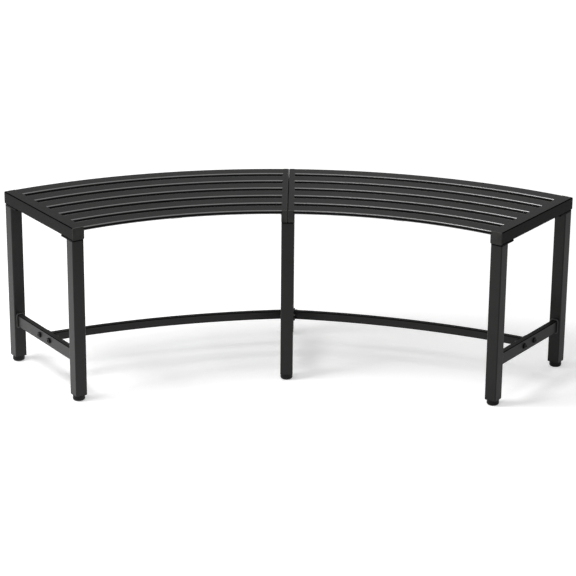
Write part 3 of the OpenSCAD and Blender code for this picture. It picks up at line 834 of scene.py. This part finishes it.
def slat_weld_paths(size, place):
    """Paths under the slats where they meet the rails, made for the right, each with its plane's normal.

    At the distance r from the arcs' centre they lie on the seam's upright plane, at y = sqrt(r r - x x), and on the
    end rail's side, at the half angle less arcsin(w / r).
    """
    half = size.slat_width / 2 - size.slat_round
    across = evenly([[-half, 0], [half, 0]], size.bead_pitch / RIPPLE_POINTS, False)[:, 0]
    seam = np.full(len(across), place.seam_x)
    height = np.full(len(across), place.slat_z - place.slat_height / 2)
    for radius in slat_radii(size, place):
        distance = radius + across
        yield np.stack([seam, np.sqrt(distance ** 2 - seam ** 2), height], -1), [1, 0, 0]
        turn = size.half_angle - np.arcsin(size.end_rail_width / distance)
        yield round_about((0, 0), distance, turn, height), end_normal(size)


def lower_rail_weld_paths(size, place):
    """Paths round both ends of a lower rail, one bead's radius outside its tube, in its leg frame."""
    off = size.bead_radius
    tube = outline(place.low_rail_width + 2 * off, place.low_rail_height + 2 * off, size.low_rail_round + off)
    ring = evenly(tube, size.bead_pitch / RIPPLE_POINTS, True)
    for end in place.low_rail_y:
        yield np.stack([ring[:, 0], np.full(len(ring), end), place.low_rail_z + ring[:, 1]], -1)


def stretcher_weld_paths(size, place):
    """Paths round both ends of a stretcher, made for the right, each with its plane's normal."""
    tube = outline(place.stretcher_width, place.stretcher_height, size.low_rail_round)
    ring = evenly(tube, size.bead_pitch / RIPPLE_POINTS, True)
    centre, start, end = stretcher_cuts(size, place)
    distance = size.bow_radius + ring[:, 0]
    for cut, normal in ((start, [1, 0, 0]), (end, end_normal(size))):
        yield round_about(centre, distance, cut(distance), place.low_rail_z + ring[:, 1]), normal


class BENCH_OT_add_welds(Operator):
    """Lay the weld beads under the coat, at the slats, lower rails and stretchers"""

    bl_idname = "bench.add_welds"
    bl_label = "Add weld beads"

    def execute(self, context):
        size, place = sizes(), plan()
        radius, pitch = size.bead_radius, size.bead_pitch
        stout, sharp = 1.5 * radius, 80
        slats = [(in_bench(bead(path, normal, radius, pitch, False), side), False)
                 for side in ENDS for path, normal in slat_weld_paths(size, place)]
        skin("slat_welds", slats, "rail_coat", sharp=sharp)
        lower = [(in_leg_frame(bead(path, [0, 1, 0], stout, pitch, True), side), True)
                 for side in SIDES for path in lower_rail_weld_paths(size, place)]
        skin("lower_rail_welds", lower, "weld_coat", sharp=sharp)
        bent = [(in_bench(bead(path, normal, radius, pitch, True), side), True)
                for side in ENDS for path, normal in stretcher_weld_paths(size, place)]
        skin("stretcher_welds", bent, "weld_coat", sharp=sharp)
        return {"FINISHED"}


def add_to_feet(part, word, make, finish, loop, sharp=30.0):
    """Make one piece for each foot's CAD node of a kind, about the middle of its box, on that part's own body."""
    for side in SIDES:
        for row in ROWS:
            name = f"{side}_{row}_foot_{part}"
            low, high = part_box(name)
            rings = make((high.x - low.x) / 2, high.z - low.z, sizes())
            rings += [(low.x + high.x) / 2, (low.y + high.y) / 2, low.z]
            skin(f"{name}_{word}", [(rings, loop)], finish, [name], f"{side}_{row}_{part}", sharp)


def foot_pad(radius, height, size):
    """A foot's pad, turned from its profile: the rim outwards, down the grooved side and under it, and up through
    the key's hole, the pocket of the stud's head and the mouth. The top and lower edges are quarter circles."""
    small, edge = 0.0006, size.pad_edge
    rim = radius - small
    key_hole, pocket, mouth = 0.0035, 0.0083, 0.0041
    pocket_floor, pocket_roof = 0.004, 0.0076
    turn = np.linspace(0, np.pi / 2, 7)
    top = np.stack([rim - small + small * np.sin(turn), height - small + small * np.cos(turn)], -1)
    groove = [[radius - 0.0001, edge + 0.0022], [radius - 0.0005, edge + 0.0019], [radius, edge + 0.0016]]
    lower = np.stack([radius - edge + edge * np.cos(turn), edge - edge * np.sin(turn)], -1)
    inner = [[key_hole, 0], [key_hole, pocket_floor], [pocket, pocket_floor], [pocket, pocket_roof],
             [mouth, pocket_roof], [mouth, height]]
    return turned(np.vstack([top, groove, lower, inner]), PAD_AROUND)


class BENCH_OT_add_foot_pads(Operator):
    """Turn the six round pads of the feet"""

    bl_idname = "bench.add_foot_pads"
    bl_label = "Add foot pads"

    def execute(self, context):
        add_to_feet("pad", "moulding", foot_pad, "pad_finish", loop=True)
        return {"FINISHED"}


def foot_stud(head, length, size):
    """A foot's stud, upright: a round head with bevels and a hexagon socket in its underside, a neck and a thread."""
    head_height, bevel, tip = 0.003, 0.0005, 0.001
    socket, socket_depth = hexagon(0.005, AROUND), 0.0035
    shank, neck_top = 0.004, 0.0035
    neck, point = 0.84 * shank, 0.75 * shank
    return turned([
        (socket, socket_depth), (socket, 0), (head - bevel, 0), (head, bevel), (head, head_height - bevel),
        (head - bevel, head_height), (neck, head_height),
        *thread(shank, size.stud_pitch, neck_top, length - tip, AROUND), (point, length)], AROUND)


class BENCH_OT_add_foot_studs(Operator):
    """Cut the threads of the six studs on which the feet turn"""

    bl_idname = "bench.add_foot_studs"
    bl_label = "Add foot studs"

    def execute(self, context):
        add_to_feet("stud", "thread", foot_stud, "zinc_finish", loop=False, sharp=35)
        return {"FINISHED"}


def button_screw(length, size):
    """Button-head screw along +Z with the underside of its head at zero: a hexagon socket, a crown, an upright rim,
    and a thread over its last stretch. The crown's height falls with the square root of 1 - (r / R) ** crown, for
    a radius r and the head's radius R."""
    head, height, radius = size.head_width / 2, size.head_height, size.screw_width / 2
    socket, mouth = hexagon(size.socket_width, AROUND), size.socket_width / math.sqrt(3)
    out = mouth + (head - mouth) * np.sin(np.linspace(0, math.pi / 2, 14))
    crown = (size.head_rim - height) * np.sqrt(1 - (out / head) ** size.head_crown) - size.head_rim
    thread_low = length - 4 * radius
    return turned([
        (0.2 * socket, size.socket_depth - height), (0.96 * socket, 0.9 * size.socket_depth - height),
        (socket, crown[0]), *zip(out, crown), (head, 0), (radius, 0), (radius, thread_low),
        *thread(radius, size.screw_pitch, thread_low, length - size.screw_bevel, AROUND),
        (radius - size.screw_bevel, length)], AROUND)


def hexagon_nut(size):
    """Nut along +Z: a hexagon whose ends are cut by 30 degree cones, and a bore with a bevel at both ends."""
    edge, circle = hexagon(size.nut_width, AROUND), 0.97 * size.nut_width / 2
    drop = (edge - circle) * math.tan(math.radians(30))
    bore, height, bevel = size.nut_bore / 2, size.nut_height, size.screw_bevel / 2
    return turned([
        (bore, bevel), (bore + bevel, 0), (circle, 0), (edge, drop), (edge, height - drop), (circle, height),
        (bore + bevel, height), (bore, height - bevel)], AROUND)


def bolt_places(size, place):
    """Each stretcher screw's leg frame, the place of its head, its direction and the place of its washer."""
    z, face = place.low_rail_z, place.plate_face
    for side in SIDES:
        for step in (-0.5, 0.5):
            y = place.mid_radius + step * size.screw_spacing
            if side == "centre":
                yield side, [-face, y, z], [1, 0, 0], [face, y, z]
            else:
                yield side, [place.low_rail_width / 2, y, z], [-1, 0, 0], [-face, y, z]


class BENCH_OT_add_screws(Operator):
    """Add the button-head screws of the stretchers"""

    bl_idname = "bench.add_screws"
    bl_label = "Add screws"

    def execute(self, context):
        size = sizes()
        shells = []
        for side, head, direction, _ in bolt_places(size, plan()):
            screw = button_screw(size.long_screw if side == "centre" else size.short_screw, size)
            shells.append((in_leg_frame(laid_along(screw, head, direction), side), False))
        skin("stretcher_screws", shells, "screw_finish", ["stretcher_bolts"], sharp=40)
        return {"FINISHED"}


class BENCH_OT_add_nuts(Operator):
    """Add the hexagon nuts of the stretchers' screws"""

    bl_idname = "bench.add_nuts"
    bl_label = "Add nuts"

    def execute(self, context):
        size = sizes()
        shells = []
        for side, _, direction, washer in bolt_places(size, plan()):
            seat = np.array(washer) + size.washer_thickness * np.array(direction)
            shells.append((in_leg_frame(laid_along(hexagon_nut(size), seat, direction), side), True))
        skin("stretcher_hexagon_nuts", shells, "screw_finish", ["stretcher_nuts"], sharp=25)
        return {"FINISHED"}


def seen_rays(tree):
    """One where a ray is seen directly, in a reflection or through glass, and nought for light on a surface."""
    rays = tree.nodes.new("ShaderNodeLightPath").outputs
    direct = calculate(tree, "MAXIMUM", rays["Is Camera Ray"], rays["Is Glossy Ray"])
    return calculate(tree, "MAXIMUM", direct, rays["Is Transmission Ray"])


class BENCH_OT_set_up_studio(Operator):
    """Set up the white floor, the soft lamps and the camera"""

    bl_idname = "bench.set_up_studio"
    bl_label = "Set up studio"

    def execute(self, context):
        scene, studio = context.scene, context.scene.bench_studio
        scene.view_settings.view_transform = "Standard"
        self.lay_floor(scene, studio)
        self.light_sky(scene, studio)
        aim = (0, 0, 0.2)
        self.add_lamp(scene, "key", (-1.66, -0.48, 2.99), aim, (1.2, 1.2), studio.key_power)
        self.add_lamp(scene, "front", (-0.72, -2.0, 2.6), aim, (0.5, 0.5), studio.front_power)
        self.add_lamp(scene, "top", (0, 0.1, 3.2), aim, (2.4, 1.6), studio.top_power)
        self.add_lamp(scene, "back", (1.6, 3.4, 1.6), (0.3, 0, 0.43), (3.2, 1.2), studio.back_power)
        self.place_camera(scene, studio)
        return {"FINISHED"}

    def lay_floor(self, scene, studio):
        """A square floor that is white where it is seen and keeps the bench's shadow.

        A glow makes up the part of its white that takes no shadow, and rises with the distance from the bench's
        middle. In reflections the glow falls with the distance from the middle of a pool of light instead.
        """
        half = studio.floor_size / 2
        corners = [(-half, -half, 0), (half, -half, 0), (half, half, 0), (-half, half, 0)]
        mesh = bpy.data.meshes.new("floor")
        mesh.from_pydata(corners, [], [(0, 1, 2, 3)])
        floor = bpy.data.objects.new("floor", mesh)
        scene.collection.objects.link(floor)
        material = bpy.data.materials.new("floor")
        mesh.materials.append(material)
        tree, surface = cleared(material, "ShaderNodeOutputMaterial")
        place = tree.nodes.new("ShaderNodeTexCoord").outputs["Object"]
        rise = between(tree, distance_to(tree, place, (0, 0, 0)), studio.floor_glow, 1.0,
                       studio.glow_near, studio.glow_far)
        pool = between(tree, distance_to(tree, place, studio.pool_place), studio.pool_glow, studio.pool_rest,
                       studio.pool_near, studio.pool_far)
        mirrored = tree.nodes.new("ShaderNodeLightPath").outputs["Is Glossy Ray"]
        strength = node(tree, "ShaderNodeMix", {"Factor": mirrored, "A": rise, "B": pool}).outputs["Result"]
        glow = node(tree, "ShaderNodeEmission", {"Color": WHITE, "Strength": strength}).outputs[0]
        lit = node(tree, "ShaderNodeBsdfDiffuse", {"Color": [studio.floor_grey] * 3 + [1]}).outputs[0]
        both = node(tree, "ShaderNodeAddShader", {0: lit, 1: glow}).outputs[0]
        shown = node(tree, "ShaderNodeMixShader", {"Fac": seen_rays(tree), 1: lit, 2: both}).outputs[0]
        tree.links.new(shown, surface)

    def light_sky(self, scene, studio):
        """An even light from all around, which looks white where it is seen."""
        scene.world = bpy.data.worlds.new("studio")
        tree, surface = cleared(scene.world, "ShaderNodeOutputWorld")
        strength = between(tree, seen_rays(tree), studio.ambient, 1.0, 0.0, 1.0)
        even = node(tree, "ShaderNodeBackground", {"Color": WHITE, "Strength": strength})
        tree.links.new(even.outputs[0], surface)

    def add_lamp(self, scene, name, place, aim, size, power):
        """A soft rectangular lamp that points at a place, and isn't seen itself."""
        lamp = bpy.data.lights.new(name, "AREA")
        lamp.shape = "RECTANGLE"
        lamp.size, lamp.size_y = size
        lamp.energy = power
        holder = bpy.data.objects.new(name, lamp)
        holder.location = place
        holder.rotation_euler = (Vector(aim) - Vector(place)).to_track_quat("-Z", "Y").to_euler()
        holder.visible_camera = False
        scene.collection.objects.link(holder)

    def place_camera(self, scene, studio):
        """The camera looks along (sin y cos p, cos y cos p, -sin p) for its yaw y and pitch p, then rolls."""
        yaw, pitch, roll = studio.camera_yaw, studio.camera_pitch, studio.camera_roll
        ahead = Vector((math.sin(yaw) * math.cos(pitch), math.cos(yaw) * math.cos(pitch), -math.sin(pitch)))
        level = Vector((math.cos(yaw), -math.sin(yaw), 0))
        rise = level.cross(ahead)
        right = math.cos(roll) * level + math.sin(roll) * rise
        up = math.cos(roll) * rise - math.sin(roll) * level
        lens = bpy.data.cameras.new("camera")
        lens.lens = studio.focal_length
        lens.clip_start, lens.clip_end = 0.1, 100
        camera = bpy.data.objects.new("camera", lens)
        turn = Matrix((right, up, -ahead)).transposed()
        camera.matrix_world = Matrix.Translation(Vector(studio.camera_place)) @ turn.to_4x4()
        scene.collection.objects.link(camera)
        scene.camera = camera


class BENCH_PT_sidebar(Panel):
    """Lists the bench's operators and its sizes, colours and studio settings"""

    bl_idname = "BENCH_PT_sidebar"
    bl_label = "Garden bench"
    bl_space_type = "VIEW_3D"
    bl_region_type = "UI"
    bl_category = "Bench"

    def draw(self, context):
        for step in STEPS:
            self.layout.operator(step.bl_idname)
        for name in GROUPS:
            group, box = getattr(context.scene, name), self.layout.box()
            for setting in group.__annotations__:
                box.prop(group, setting)


GROUPS = {"bench_sizes": BenchSizes, "bench_colours": BenchColours, "bench_studio": StudioSettings}
STEPS = (
    BENCH_OT_make_finishes, BENCH_OT_add_slats, BENCH_OT_add_seat_rails, BENCH_OT_add_end_plugs,
    BENCH_OT_add_legs, BENCH_OT_add_lower_rails, BENCH_OT_add_stretchers, BENCH_OT_add_welds,
    BENCH_OT_add_foot_pads, BENCH_OT_add_foot_studs, BENCH_OT_add_screws, BENCH_OT_add_nuts,
    BENCH_OT_set_up_studio,
)
CLASSES = (*GROUPS.values(), *STEPS, BENCH_PT_sidebar)


def register():
    """Registers the classes and gives the scene its groups of settings."""
    for kind in CLASSES:
        bpy.utils.register_class(kind)
    for name, group in GROUPS.items():
        setattr(bpy.types.Scene, name, PointerProperty(type=group))


def unregister():
    """Undoes register."""
    for name in GROUPS:
        delattr(bpy.types.Scene, name)
    for kind in reversed(CLASSES):
        bpy.utils.unregister_class(kind)


def main():
    """Builds the dressed bench and its studio."""
    register()
    for step in STEPS:
        category, name = step.bl_idname.split(".")
        getattr(getattr(bpy.ops, category), name)()


if __name__ == "__main__":
    main()
